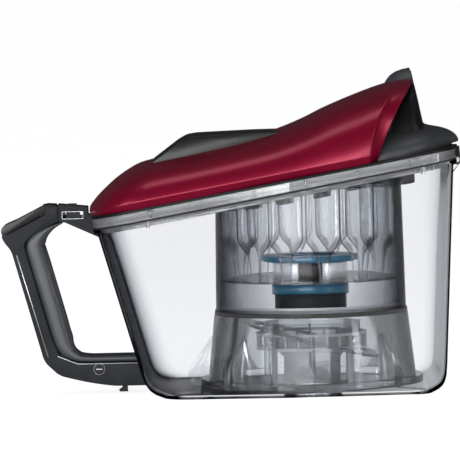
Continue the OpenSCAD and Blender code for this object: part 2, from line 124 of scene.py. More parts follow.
# %% World
WORLD_LIGHT, MIRROR_LIGHT = 0.33, 0.04
world = bpy.data.worlds.new("studio")
bpy.context.scene.world = world
world.use_nodes = True
tree = world.node_tree
tree.nodes.clear()
path = add(tree, "LightPath").outputs
power = add(tree, "Math", path["Is Glossy Ray"], MIRROR_LIGHT - WORLD_LIGHT, WORLD_LIGHT,
            operation="MULTIPLY_ADD")
lit = add(tree, "Background", shade((0.93, 0.96, 1.0)), power)
seen = add(tree, "Background", shade((1, 1, 1)), 1.0)
either = add(tree, "Math", path["Is Camera Ray"], path["Is Transmission Ray"],
             operation="MAXIMUM")
both = add(tree, "MixShader", either, lit, seen)
out = tree.nodes.new("ShaderNodeOutputWorld")
tree.links.new(both.outputs[0], out.inputs[0])
bpy.context.scene.view_settings.view_transform = "Standard"
print("world light", WORLD_LIGHT, "and in mirrors", MIRROR_LIGHT)


# %% [markdown]
# Five area lamps stand round the bin. The long low one draws the bright band along the side
# of the lid, and the two upright ones draw the edges of the tub.

# %% Soft boxes
def soft_box(name, place, look_at, size, power):
    data = bpy.data.lights.new(name, "AREA")
    data.shape = "RECTANGLE"
    data.size, data.size_y = size
    data.energy = power
    lamp = bpy.data.objects.new(name, data)
    bpy.context.scene.collection.objects.link(lamp)
    lamp.location = place
    lamp.rotation_euler = (Vector(look_at) - Vector(place)).to_track_quat("-Z", "Y").to_euler()
    lamp.visible_camera = False
    print(name, power, "W")


MIDDLE = (-0.06, 0, 0.1)
soft_box("top_box", (-0.1, 0.2, 2.2), MIDDLE, (1.6, 0.7), 6)
soft_box("left_box", (-2.0, -1.4, 0.5), MIDDLE, (0.5, 1.4), 13)
soft_box("right_box", (2.0, -1.5, 0.5), MIDDLE, (0.35, 1.4), 15)
soft_box("low_box", (-0.9, -2.5, 0.16), (0.0, 0, 0.16), (2.0, 0.45), 36)
soft_box("front_box", (0.6, -3.6, 0.7), MIDDLE, (1.4, 0.5), 11)

# %% [markdown]
# The floor is a very wide disc, so its edge is never seen. It glows a little, as paper lit
# from behind does, and it isn't mirrored in the bin.

# %% Floor
FLOOR_REACH, FLOOR_GLOW = 400, 0.85
floor_mat, tree = new_material("pale_floor")
where = add(tree, "TexCoord").outputs["Object"]
cloud = add(tree, "TexNoise", Vector=where, Scale=3.0, Detail=2.0)
tone = ramp(tree, cloud, (0, (0.50,) * 3), (1, (0.54,) * 3))
matt = add(tree, "BsdfPrincipled", Roughness=0.7, Base_Color=tone,
           Emission_Color=shade((1, 1, 1)), Emission_Strength=FLOOR_GLOW)
add(tree, "OutputMaterial", matt)

bm = bmesh.new()
bmesh.ops.create_circle(bm, cap_ends=True, segments=96, radius=FLOOR_REACH)
floor_mesh = bpy.data.meshes.new("floor")
bm.to_mesh(floor_mesh)
bm.free()
floor = bpy.data.objects.new("floor", floor_mesh)
floor_mesh.materials.append(floor_mat)
bpy.context.scene.collection.objects.link(floor)
floor.visible_glossy = False
print("floor radius", FLOOR_REACH, "m")

# %% [markdown]
# ## Finishes
# Every finish reads Object coordinates, which are metres here, so a pattern keeps its real
# size on every piece. Moulded plastic is never one flat tone: the colour drifts a little,
# the polish is uneven and a fine texture from the mould breaks up the highlights.

# %% Moulded plastic
DRIFT_SCALE = 40
# Colour of the painted reflection: the dark stripe that polished metal shows where it faces the
# viewer.
PAINTED_REFLECTION_TONE = (0.02, 0.02, 0.02)


def moulded(name, dark, light, rough=(0.3, 0.45), grain=900, depth=0.08, metal=0.0, coat=0.0,
            coat_rough=0.05, painted_reflection=None, spec=0.5):
    """An opaque finish: colour that drifts between two tones, uneven polish and a fine grain.
    With a facing range, a round part gets a painted reflection: a dark stripe down the side that
    faces the viewer, standing in for the dark room that polished metal would mirror."""
    material, tree = new_material(name)
    where = add(tree, "TexCoord").outputs["Object"]
    wide = add(tree, "TexNoise", Vector=where, Scale=DRIFT_SCALE, Detail=3.0, Roughness=0.55)
    fine = add(tree, "TexNoise", Vector=where, Scale=grain, Detail=2.0, Roughness=0.6)
    tone = ramp(tree, wide, (0.3, dark), (0.7, light))
    polish = add(tree, "MapRange", Value=wide, To_Min=rough[0], To_Max=rough[1])
    bump = add(tree, "Bump", Height=fine, Strength=depth, Distance=0.0002)
    # Painted reflection: a dark stripe where the surface faces the viewer.
    if painted_reflection:
        angle = add(tree, "LayerWeight", Blend=0.5)
        band = ramp(tree, angle.outputs["Facing"], (painted_reflection[0], PAINTED_REFLECTION_TONE), (painted_reflection[1], (1,) * 3))
        tone = add(tree, "VectorMath", band, tone, operation="MULTIPLY")
    main = add(tree, "BsdfPrincipled", Base_Color=tone, Roughness=polish,
               Normal=bump, Metallic=metal, IOR=1.5, Coat_Weight=coat,
               Specular_IOR_Level=spec, Coat_Roughness=coat_rough)
    add(tree, "OutputMaterial", main)
    return material


# %% [markdown]
# Clear plastic is drawn in two ways. An outer wall really bends the light, which makes its
# edges dark. A thin wall behind another one only tints the light that goes straight on, since
# many walls that bend it, one behind the other, would take too long and turn black.

# %% Clear plastic
LAMP_PASS, TUB_GLOSS = 0.9, 0.45
# The stretch along X over which the clear finish is lightened towards the rear, as painted light.
REAR_FROM, REAR_TO = -0.05, 0.09


def glossed(tree, shader, ior, rough, gloss, **normal):
    """A mirror's share over a shader, more at low angles."""
    shine = add(tree, "BsdfGlossy", Roughness=rough, **normal)
    mirror = add(tree, "Fresnel", IOR=ior, **normal)
    share = add(tree, "Math", mirror, gloss, operation="MULTIPLY")
    return add(tree, "MixShader", share, shader, shine)


def clear(name, face, middle, edge, ior, ripple=0.04, ripple_size=60, streak=1.0, painted_rear_light=1.0):
    """Clear moulded plastic: it bends light, darkens where it is met at a low angle, mirrors a
    little, and lets the light of the lamps straight through to what stands behind it. The rear
    factor paints light: below 1, it darkens less towards the rear, so the rear wall looks lit."""
    material, tree = new_material(name)
    where = add(tree, "TexCoord").outputs["Object"]
    drawn = add(tree, "Mapping", Vector=where, Scale=(1, 1, streak))
    wide = add(tree, "TexNoise", Vector=drawn, Scale=ripple_size, Detail=2.0)
    normal = add(tree, "Bump", Height=wide, Strength=ripple, Distance=0.001)
    angle = add(tree, "LayerWeight", Blend=0.5)
    apart = add(tree, "SeparateXYZ", where)
    ease = add(tree, "MapRange", Value=apart, From_Min=REAR_FROM,
               From_Max=REAR_TO, To_Min=1.0, To_Max=painted_rear_light)
    low = add(tree, "Math", angle.outputs["Facing"], ease,
              operation="MULTIPLY")
    tone = ramp(tree, low, (0.05, face), (0.80, edge), (0.36, middle))
    bent = add(tree, "BsdfRefraction", Color=tone, Roughness=0.0, IOR=ior, Normal=normal)
    plastic = glossed(tree, bent, ior, 0.05, TUB_GLOSS, Normal=normal)
    light = add(tree, "BsdfTransparent", Color=shade((LAMP_PASS,) * 3))
    path = add(tree, "LightPath").outputs
    either = add(tree, "Math", path["Is Shadow Ray"], path["Is Diffuse Ray"],
                 operation="MAXIMUM")
    both = add(tree, "MixShader", either, plastic, light)
    add(tree, "OutputMaterial", both)
    return material


def thin_clear(name, face, edge, haze=(0.5, 0.52, 0.55), cloud=0.12, gloss=0.35,
               clear_to=0.35):
    """A thin clear wall seen inside another: light passes straight on, less at low angles,
    with a little haze in the plastic and a mirror's share on top."""
    material, tree = new_material(name)
    where = add(tree, "TexCoord").outputs["Object"]
    wide = add(tree, "TexNoise", Vector=where, Scale=50, Detail=2.0)
    angle = add(tree, "LayerWeight", Blend=0.5)
    tone = ramp(tree, angle.outputs["Facing"], (clear_to, face), (0.97, edge))
    amount = add(tree, "MapRange", Value=wide, To_Min=cloud * 0.6,
                 To_Max=cloud * 1.4)
    through = add(tree, "BsdfTransparent", Color=tone)
    mist = add(tree, "BsdfPrincipled", Roughness=0.35, Base_Color=shade(haze))
    misty = add(tree, "MixShader", amount, through, mist)
    add(tree, "OutputMaterial", glossed(tree, misty, 1.5, 0.06, gloss))
    return material


# %% [markdown]
# Now each finish of the bin gets its colours and polish. The lacquer is half metal with a thin
# coat, as its flakes are, and the dark plastics differ mostly in how they shine.

# %% The finishes of this bin
# The tub's rear wall gets painted light: towards the rear it darkens only half as much.
TUB_CLEAR = clear("tub_clear", (0.950, 0.952, 0.957), (0.72, 0.73, 0.75), (0.03, 0.033, 0.04),
                  streak=0.15, ior=1.13, painted_rear_light=0.5)
DRUM_CLEAR = clear("drum_clear", (0.92, 0.925, 0.935), (0.68, 0.69, 0.71), (0.02, 0.023, 0.03),
                   ripple=0.22, ripple_size=130, streak=0.02, ior=1.2)
FRAME_CLEAR = thin_clear("frame_clear", (0.96, 0.965, 0.97), (0.10, 0.11, 0.12),
                         haze=(0.55, 0.56, 0.58), cloud=0.22, gloss=1.0)
CONE_CLEAR = thin_clear("cone_clear", (0.975, 0.978, 0.98), (0.04, 0.045, 0.05), cloud=0.012,
                        gloss=0.5, clear_to=0.55)
SMOKE = thin_clear("smoke_clear", (0.89, 0.90, 0.91), (0.02, 0.023, 0.03),
                   haze=(0.30, 0.31, 0.34), cloud=0.05, gloss=0.8, clear_to=0.45)
CRIMSON = moulded("crimson_lacquer", (0.25, 0.0004, 0.024), (0.29, 0.0006, 0.031),
                  rough=(0.32, 0.37), grain=2600, depth=0.03, metal=0.55, coat=0.30,
                  coat_rough=0.2)
CHARCOAL = moulded("charcoal_satin", (0.036, 0.039, 0.043), (0.046, 0.049, 0.054),
                   rough=(0.42, 0.50), grain=1500, depth=0.10)
GLOSS_BLACK = moulded("gloss_black", (0.006, 0.006, 0.007), (0.010, 0.010, 0.011),
                      rough=(0.24, 0.32), grain=700, depth=0.02, spec=0.3)
SLATE = moulded("slate_plastic", (0.016, 0.0175, 0.020), (0.024, 0.026, 0.030),
                rough=(0.34, 0.42), grain=1100, depth=0.08, spec=0.08)
GRIP = moulded("grip_plastic", (0.040, 0.043, 0.049), (0.050, 0.054, 0.061),
               rough=(0.30, 0.38), grain=1300, depth=0.12)
BLACK = moulded("black_plastic", (0.006, 0.006, 0.007), (0.010, 0.010, 0.011),
                rough=(0.34, 0.42), grain=1200, depth=0.08, spec=0.22)
BLUE = moulded("blue_plastic", (0.010, 0.13, 0.24), (0.015, 0.17, 0.30), rough=(0.25, 0.33),
               grain=900, depth=0.05)
# The barrel's dark middle stripe is a painted reflection.
SILVER = moulded("silver_barrel", (0.72, 0.73, 0.74), (0.80, 0.81, 0.82), rough=(0.22, 0.28),
                 grain=600, depth=0.02, metal=0.7, painted_reflection=(0.055, 0.07))
RUBBER = moulded("black_rubber", (0.010, 0.010, 0.010), (0.018, 0.018, 0.018),
                 rough=(0.55, 0.7), grain=700, depth=0.15)
STEEL = moulded("steel", (0.40, 0.40, 0.41), (0.52, 0.52, 0.53), rough=(0.25, 0.35),
                grain=1800, depth=0.05, metal=1.0)
PALE = moulded("pale_plastic", (0.42, 0.43, 0.45), (0.50, 0.51, 0.53), rough=(0.25, 0.35),
               grain=900, depth=0.06)
# This bright finish is a painted highlight on the handle's seam lines; it also colours the latch
# window's frame and the pin rings.
TRIM_AND_HIGHLIGHT = moulded("trim_and_highlight_line", (0.30, 0.31, 0.33), (0.38, 0.39, 0.41), rough=(0.2, 0.3),
               grain=900, depth=0.03, metal=0.6)

# %% [markdown]
# ## The bin's own geometry
# The tub, the gasket, the lid's frame and its deck all follow one outline. It is the tight
# band round six circles: two at the front corners, two at the rear ones and two large ones
# that make the sides bulge. The rim is a plane that rises to the rear.

# %% Outline of the tub
RIM_Z, RIM_SLOPE = 153.0, math.radians(9.84)
FRONT_FOOT, REAR_FOOT, TUB_HALF = -122.5, 97.7, 91.0
FRONT_TAN, REAR_TAN, SIDE_TAN = (math.tan(math.radians(a)) for a in (15.86, 2.85, 0.8))
FRONT_R, REAR_R, BULGE_R, BULGE_X = 30.0, 23.0, 88.0, -16.0
WALL, FLOOR = 2.6, 3.0
RAYS, SMALL_RAYS = 192, 160
FOOT_ROUND = [(0, 11), (2.5, 5.5), (6, 2.2), (12, 0.4), (20, 0)]


def front_x(z):
    return FRONT_FOOT - z * FRONT_TAN


def rear_x(z):
    return REAR_FOOT + z * REAR_TAN


def half_w(z):
    return TUB_HALF + z * SIDE_TAN


def rim_at(x, h=0.0):
    return RIM_Z + x * math.tan(RIM_SLOPE) + h / math.cos(RIM_SLOPE)


def between(table, x):
    """A smooth value at x in a table of (x, value) rows that never overshoots its rows."""
    xs = [row[0] for row in table]
    ys = [row[1] for row in table]
    x = min(max(x, xs[0]), xs[-1])
    i = max(k for k in range(len(xs) - 1) if xs[k] <= x)
    rise = [(ys[k + 1] - ys[k]) / (xs[k + 1] - xs[k]) for k in range(len(xs) - 1)]

    def slope(k):
        if k == 0 or k == len(xs) - 1:
            return rise[min(k, len(rise) - 1)]
        a, b = rise[k - 1], rise[k]
        return 0.0 if a * b <= 0 else 2 * a * b / (a + b)

    w = xs[i + 1] - xs[i]
    t = (x - xs[i]) / w
    return ((2 * t**3 - 3 * t**2 + 1) * ys[i] + (t**3 - 2 * t**2 + t) * w * slope(i)
            + (3 * t**2 - 2 * t**3) * ys[i + 1] + (t**3 - t**2) * w * slope(i + 1))


def ray_angle(i, count):
    """The direction of ray i, with more rays where the long sides bulge."""
    t = 2 * math.pi * i / count
    return t + 0.3 * math.sin(2 * t)


def outline(i, count, z, inset):
    """Where the tub's outline at height z, drawn in by inset, faces ray i."""
    c, s = math.cos(ray_angle(i, count)), math.sin(ray_angle(i, count))
    side = 1 if s >= 0 else -1
    circles = [(front_x(z) + FRONT_R, side * (half_w(z) - 5 - FRONT_R), FRONT_R),
               (rear_x(z) - REAR_R, side * (half_w(z) - 6 - REAR_R), REAR_R),
               (BULGE_X, side * (half_w(z) - BULGE_R), BULGE_R)]
    x, y, r = max(circles, key=lambda k: k[0] * c + k[1] * s + k[2])
    return x + (r - inset) * c, y + (r - inset) * s


# %% [markdown]
# ## Growing a skin level by level
# Each closed band starts as a circle of vertices. Its edge loop is extruded again and again,
# and each new loop is moved to the next level. A whole number kept on every vertex says which
# ray it belongs to, and extruding copies it, so the loops never twist.

# %% Levels
def level(z, inset):
    return lambda i, n: (*outline(i, n, z, inset), z)


def rim_level(h, inset):
    """The outline where it meets the plane h above the rim."""
    def place(i, n):
        z = RIM_Z
        for _ in range(8):
            x, y = outline(i, n, z, inset)
            z = rim_at(x, h)
        return x, y, z
    return place


def rim_levels(*rows):
    return [rim_level(h, inset) for h, inset in rows]


def round_level(r, z):
    def place(i, n):
        a = ray_angle(i, n)
        return r * math.cos(a), r * math.sin(a), z
    return place


def round_rim_level(r, h):
    def place(i, n):
        a = ray_angle(i, n)
        x = r * math.cos(a)
        return x, r * math.sin(a), rim_at(x, h)
    return place


def verts_in(geom):
    return [g for g in geom if isinstance(g, bmesh.types.BMVert)]


def edges_in(geom):
    return [g for g in geom if isinstance(g, bmesh.types.BMEdge)]


def close_ends(bm):
    bmesh.ops.holes_fill(bm, edges=[e for e in bm.edges if e.is_boundary], sides=0)


def grow(bm, levels, count=RAYS, close=True):
    """A skin through the levels; with close, the last level is joined to the first."""
    ray = bm.verts.layers.int.get("ray") or bm.verts.layers.int.new("ray")
    ring = bmesh.ops.create_circle(bm, segments=count, radius=1)["verts"]
    for i, v in enumerate(ring):
        v[ray] = i
    new = set(ring)
    loop = [e for e in bm.edges if new.issuperset(e.verts)]
    rows = list(levels) + ([levels[0]] if close else [])
    for k, place in enumerate(rows):
        if k:
            made = bmesh.ops.extrude_edge_only(bm, edges=loop)["geom"]
            ring = verts_in(made)
            new = set(ring)
            loop = [e for e in edges_in(made) if new.issuperset(e.verts)]
        for v in ring:
            v.co = Vector(place(v[ray], count)) * MM


# %% [markdown]
# Small parts and cutters are rods, boxes, slabs and turned rings. A slab is an outline drawn
# out across Y, and a turned ring is a profile spun once round Z. Each helper gives back the
# vertices it made, so that a part can be moved after it is made.

# %% Simple shapes
ACROSS = (0, 1, 0)
LEVEL = 1e-7


def add_rod(bm, centre, axis, r, length, segments=48):
    """A closed cylinder about centre, along axis."""
    turn = Vector(axis).to_track_quat("Z", "Y").to_matrix().to_4x4()
    return bmesh.ops.create_cone(
        bm, cap_ends=True, segments=segments, radius1=r * MM, radius2=r * MM, depth=length * MM,
        matrix=Matrix.Translation(Vector(centre) * MM) @ turn)["verts"]


def add_box(bm, low, high, turn=None):
    """A box between two corners, turned and placed by a matrix if one is given."""
    low, high = Vector(low) * MM, Vector(high) * MM
    place = Matrix.Translation((low + high) / 2) @ Matrix.Diagonal((*(high - low), 1))
    return bmesh.ops.create_cube(bm, size=1, matrix=turn @ place if turn else place)["verts"]


def bevel(bm, geom, offset, segments, affect, clamp=False):
    bmesh.ops.bevel(bm, geom=geom, offset=offset * MM, offset_type="OFFSET", segments=segments,
                    profile=0.5, affect=affect, material=-1, clamp_overlap=clamp)


def add_slab(bm, rows, width, middle=0.0, edge=0.0, steps=3):
    """An outline of (x, z) or (x, z, corner radius) rows, drawn out across Y and its two rims
    bevelled by edge."""
    near, far = (middle - width / 2) * MM, (middle + width / 2) * MM
    old = set(bm.verts)
    corners = [bm.verts.new((row[0] * MM, near, row[1] * MM)) for row in rows]
    bm.faces.new(corners)
    rounds = [row[2] if len(row) > 2 else 0 for row in rows]
    for r in sorted({r for r in rounds if r}, reverse=True):
        bevel(bm, [v for v, own in zip(corners, rounds) if own == r], r, 8, "VERTICES")
    flat = [f for f in bm.faces if not old & set(f.verts)]
    made = bmesh.ops.extrude_face_region(bm, geom=flat)["geom"]
    bmesh.ops.translate(bm, verts=verts_in(made), vec=(0, far - near, 0))
    verts = [v for v in bm.verts if v not in old]
    if edge:
        mine = set(verts)
        rims = [e for e in bm.edges if mine.issuperset(e.verts)
                and abs(e.verts[0].co.y - e.verts[1].co.y) < LEVEL]
        bevel(bm, rims, edge, steps, "EDGES", clamp=True)
    return [v for v in bm.verts if v not in old]


def ring_profile(r_in, r_out, low, high):
    return [(r_in, low), (r_out, low), (r_out, high), (r_in, high)]


def add_turned(bm, profile, steps=96, rounding=0.0, close=True):
    """A profile of (radius, height) rows turned once round the Z axis. It is a closed outline,
    or with close off a line that starts and ends on the axis. Only a new bmesh is rounded."""
    old = set(bm.verts)
    verts = [bm.verts.new((r * MM, 0, z * MM)) for r, z in profile]
    edges = [bm.edges.new((verts[i - 1], verts[i])) for i in range(0 if close else 1, len(verts))]
    if rounding:
        bm.faces.new(verts)
        bevel(bm, verts, rounding, 2, "VERTICES", clamp=True)
        bmesh.ops.delete(bm, geom=bm.faces[:], context="FACES_ONLY")
        verts, edges = bm.verts[:], bm.edges[:]
    bmesh.ops.spin(bm, geom=verts + edges, cent=(0, 0, 0), axis=(0, 0, 1),
                   angle=2 * math.pi, steps=steps, use_merge=True)
    return [v for v in bm.verts if v not in old]


# %% [markdown]
# Holes and slots are cut as on a real moulding tool, by taking closed shapes away. A Boolean
# modifier does it on a piece that lives only for the cut.

# %% Carve
MERGE = 1e-6


def tidy_mesh(bm):
    bmesh.ops.remove_doubles(bm, verts=bm.verts, dist=MERGE)
    bmesh.ops.recalc_face_normals(bm, faces=bm.faces)


def put(bm, name):
    """Puts bm in a new object, and frees it."""
    mesh = bpy.data.meshes.new(name)
    bm.to_mesh(mesh)
    bm.free()
    piece = bpy.data.objects.new(name, mesh)
    bpy.context.scene.collection.objects.link(piece)
    return piece


def carve(bm, *cutters):
    """Takes closed shapes away from bm one after another. A cutter is (helper, arguments ...)."""
    for helper, *values in cutters:
        tool = bmesh.new()
        helper(tool, *values)
        tidy_mesh(tool)
        tidy_mesh(bm)
        body, knife = put(bm, "body"), put(tool, "knife")
        cut = body.modifiers.new("cut", "BOOLEAN")
        cut.operation, cut.solver, cut.object = "DIFFERENCE", "EXACT", knife
        bpy.context.view_layer.update()
        bm = bmesh.new()
        bm.from_mesh(body.evaluated_get(bpy.context.evaluated_depsgraph_get()).to_mesh())
        for o in (body, knife):
            data = o.data
            bpy.data.objects.remove(o)
            bpy.data.meshes.remove(data)
    return bm


# %% [markdown]
# Every piece ends the same way: smooth faces with sharp creases, one finish, the body that it moves
# with and the CAD parts whose place it takes.

# %% Finish a piece
def finish_piece(name, bm, material, body, replaces=(), sharp=35):
    """Merges, turns the faces outwards and puts the mesh on its body."""
    tidy_mesh(bm)
    piece = put(bm, name)
    mesh = piece.data
    mesh.shade_smooth()
    mesh.set_sharp_from_angle(angle=math.radians(sharp))
    mesh.materials.append(material)
    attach(piece, body)
    if replaces:
        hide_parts(*replaces)
    print(f"{name}: {len(mesh.polygons)} faces on {body}")
    return piece


# %% [markdown]
# ## The clear tub
# The tub is one moulding: a floor with a hole for the inlet, walls that lean out, and a flange
# along the rim. It is grown from the hole outwards, up the outside, over the flange, down the
# inside and back to the hole, so its wall is solid and closed like the real one.

# %% Tub
HOLE_R = 21.4
HINGE_X, HINGE_Z, KNUCKLE_R, PIN_R, HINGE_HALF = 110.2, 170.0, 3.8, 2.0, 34.0
ARM_OUT, PLAY = 23.6, 0.4
FOOT_STEPS = [0, 0.5, 1.2, 2.2, 3.4, 5, 7, 9.5, 12.5, 16, 20]
FLAT_R = 50


def foot_level(z, up, inset):
    """A level near the foot, rounded wide at the front and rear and tight along the sides."""
    def place(i, n):
        share = 0.4 + 0.6 * math.cos(ray_angle(i, n))**2
        return (*outline(i, n, z, inset + between(FOOT_ROUND, up) * share), z)
    return place


bm = bmesh.new()
outer = [foot_level(z, z, 0) for z in FOOT_STEPS]
inner = [foot_level(FLOOR + z, z, WALL) for z in FOOT_STEPS]
tub_levels = (
    [round_level(HOLE_R, 0), round_level(FLAT_R, 0)] + outer + [level(60, 0), level(100, 0)]
    + rim_levels((-3.9, 0), (-3.5, -0.3), (-3.4, -1.9), (-3.1, -2.3), (-2.8, -2.4), (-0.6, -2.4),
                 (-0.2, -2.2), (0, -1.8), (0, 2.2), (-0.3, 2.5), (-0.8, WALL))
    + [level(100, WALL), level(60, WALL)] + inner[::-1]
    + [round_level(FLAT_R, FLOOR), round_level(HOLE_R, FLOOR)])
grow(bm, tub_levels)
HINGE = (HINGE_X, 0, HINGE_Z)
bm = carve(bm, (add_box, (HINGE_X - KNUCKLE_R - 0.3, -ARM_OUT - PLAY, HINGE_Z - 12),
                (HINGE_X + 16, ARM_OUT + PLAY, HINGE_Z + 8)),
           (add_rod, HINGE, ACROSS, KNUCKLE_R, 2 * HINGE_HALF + 0.6))
finish_piece("clear_tub", bm, TUB_CLEAR, "tub", ["bin_tub"])

# %% [markdown]
# Two ears behind the rim hold the hinge pin. Each is a slab with a rounded head and a bore.

# %% Hinge ears
EAR_W = HINGE_HALF - ARM_OUT - PLAY
ear = [(rear_x(158) - 0.4, 158)]
ear += [(HINGE_X + x, HINGE_Z + z) for x, z in (
    (1.5, -3.5), (3.5, -1.5), (3.7, 0.6), (2.4, 2.9), (0, KNUCKLE_R), (-2.7, 2.6),
    (-KNUCKLE_R, 0))]
ear += [(rear_x(168) - 0.4, 167.6)]
bm = bmesh.new()
for side in (-1, 1):
    add_slab(bm, ear, EAR_W, middle=side * (HINGE_HALF - EAR_W / 2), edge=0.5, steps=2)
bm = carve(bm, (add_rod, HINGE, ACROSS, PIN_R, 90))
finish_piece("hinge_ears", bm, TUB_CLEAR, "tub")


# %% [markdown]
# ## Bands along the rim
# The gasket, the clear frame with its ribs, the plug plate and the dark deck are closed bands
# that follow the same outline at other heights over the rim.

# %% Rim bands
def rim_band(bm, out_in, in_in, low, high, soft=0.3, hole=None):
    """A band between two insets and two heights; with hole, a plate with a round hole."""
    inside = (lambda h, d: round_rim_level(hole - d, h)) if hole else (
        lambda h, d: rim_level(h, in_in + d))
    grow(bm, [inside(low, soft), rim_level(low, out_in + soft), rim_level(low + soft, out_in),
              rim_level(high - soft, out_in), rim_level(high, out_in + soft),
              inside(high, soft)])


HINGE_RELIEF = (add_rod, HINGE, ACROSS, KNUCKLE_R + 0.5, 2 * HINGE_HALF + 2)
bm = bmesh.new()
rim_band(bm, -2.0, WALL + 0.4, 0.02, 1, soft=0.25)
finish_piece("rim_gasket_seal", carve(bm, HINGE_RELIEF), RUBBER, "tub",
             ["rim_gasket"])

bm = bmesh.new()
grow(bm, rim_levels((1.02, 4.8), (1.02, -1.2), (1.4, -1.6), (3.2, -1.6), (3.6, -1.1),
                    (6.9, -1.1), (7.3, -1.6), (7.7, -1.6), (8.02, -1.2), (8.02, 4.8)))
finish_piece("lid_frame_band", carve(bm, HINGE_RELIEF), FRAME_CLEAR, "lid",
             ["lid_frame"])

# %% [markdown]
# Short upright ribs stiffen the frame. Each is a small box that is set on the outline, at the
# ray nearest to its place along the rim, and tilted with the rim.

# %% Ribs on the frame
RIB_PITCH, RIB_X0, RIB_INSET, RIB_H = 38.0, -3.3, -1.2, 4.6
FAR = 1000
bm = bmesh.new()
tilt = Matrix.Rotation(-RIM_SLOPE, 4, "Y")
for k in range(-4, 3):
    x = RIB_X0 + k * RIB_PITCH
    for side in (-1, 1):
        near = min(range(RAYS), key=lambda i: abs(outline(i, RAYS, rim_at(x), RIB_INSET)[0] - x)
                   + (FAR if outline(i, RAYS, RIM_Z, 0)[1] * side < 0 else 0))
        y = outline(near, RAYS, rim_at(x), RIB_INSET)[1]
        rib = add_box(bm, (-0.7, -1.6, -2.9), (0.7, 0.9, 2.9))
        bmesh.ops.scale(bm, verts=rib, vec=(1, side * -1, 1))
        bmesh.ops.transform(bm, verts=rib, matrix=Matrix.Translation(
            Vector((x, y, rim_at(x, RIB_H))) * MM) @ tilt)
bevel(bm, bm.edges[:], 0.25, 2, "EDGES")
finish_piece("frame_ribs", bm, SMOKE, "lid")

# %% [markdown]
# A hooked tab at the front of the frame is what the latch holds.

# %% Front catch
bm = bmesh.new()
add_slab(bm, [(-164.2, 127.6), (-164.2, 130.8), (-159.4, 131), (-157, 128), (-157, 127.2)], 8,
         edge=0.4, steps=2)
finish_piece("front_catch", bm, FRAME_CLEAR, "lid", ["lid_catch"])

# %% [markdown]
# Under the lid a clear plate plugs the tub's mouth, and its round hole carries the drum. Over
# it lies the dark deck, which shows as the thin black line under the crimson shell.

# %% Plug plate and deck
PLUG_HOLE_R = 63
bm = bmesh.new()
grow(bm, [round_rim_level(PLUG_HOLE_R, -3.5)]
     + rim_levels((-3.5, 5.4), (-2.9, 4.8), (7.6, 4.8), (8, 5.2), (8, 6.6), (7.6, 7.0),
                  (-0.9, 7.0), (-1.3, 7.4))
     + [round_rim_level(PLUG_HOLE_R, -1.3)])
finish_piece("plug_plate", bm, FRAME_CLEAR, "lid", ["lid_base"])

bm = bmesh.new()
rim_band(bm, -0.6, 0, 8.04, 9.84, soft=0.4, hole=60)
finish_piece("dark_deck", bm, BLACK, "lid", ["lid_chassis"])

# %% [markdown]
# ## The lid's shells
# A lid shell is a sheet stretched over arches. A flat grid is bent over them: one way of the
# grid runs along the lid, the other up one side, over the crest and down the other. Solidify
# then gives the sheet its wall.

# %% Arch sheet
SHELL_FOOT, SHELL_T, ARCH_POWER = 9.9, 2.4, 2 / 2.6
NOSE_X, NOSE_R = -163.5, 46
TUCK_H, TUCK_POWER, CROWD = 5.6, 1.2, 0.85


def lid_half(x):
    """Half the width of the lid at x, with its two front corners rounded by NOSE_R."""
    wide, front = half_w(140) + 0.8, NOSE_X + NOSE_R
    if x >= front:
        return wide
    return wide - NOSE_R + math.sqrt(max(NOSE_R**2 - (front - x)**2, 0))


def arch_place(foot, crest_x, crest_z, width, bow, around, tuck):
    """A place on one arch; around runs from 0 at the near foot to 1 at the far one."""
    a = math.pi * around
    c, s = math.cos(a), max(math.sin(a), 0)
    rise = s**ARCH_POWER
    base = rim_at(foot, SHELL_FOOT)
    x = foot + (crest_x - foot) * rise + bow * math.sin(math.pi * min(rise, 1))
    y = -math.copysign(width * abs(c) ** ARCH_POWER, c)
    z = base + (crest_z - base) * rise
    low = max(1 - (z - base) / TUCK_H, 0)
    return x, y - math.copysign(tuck * low**TUCK_POWER, y), z


def arch_sheet(bm, stations, along, over, tuck=3.0):
    """Bends a grid over the stations. A station is (foot x, crest x, crest z, half width, bow)."""
    made = bmesh.ops.create_grid(bm, x_segments=along, y_segments=over, size=0.5)
    columns = [[(k, s[j]) for k, s in enumerate(stations)] for j in range(5)]
    for v in made["verts"]:
        t = (v.co.x + 0.5) * (len(stations) - 1)
        around = v.co.y + 0.5
        around -= CROWD * math.sin(2 * math.pi * around) / (2 * math.pi)
        row = [between(column, t) for column in columns]
        v.co = Vector(arch_place(*row, around, tuck)) * MM


def add_wall(piece):
    wall = piece.modifiers.new("wall", "SOLIDIFY")
    wall.thickness, wall.offset = SHELL_T * MM, -1


# %% [markdown]
# ## The crimson shell
# It starts low and round at the nose, swells to the full width and sweeps up to the outlet.
# Near its rear edge the sheet turns inwards, and that fold is the crease you see from the side.

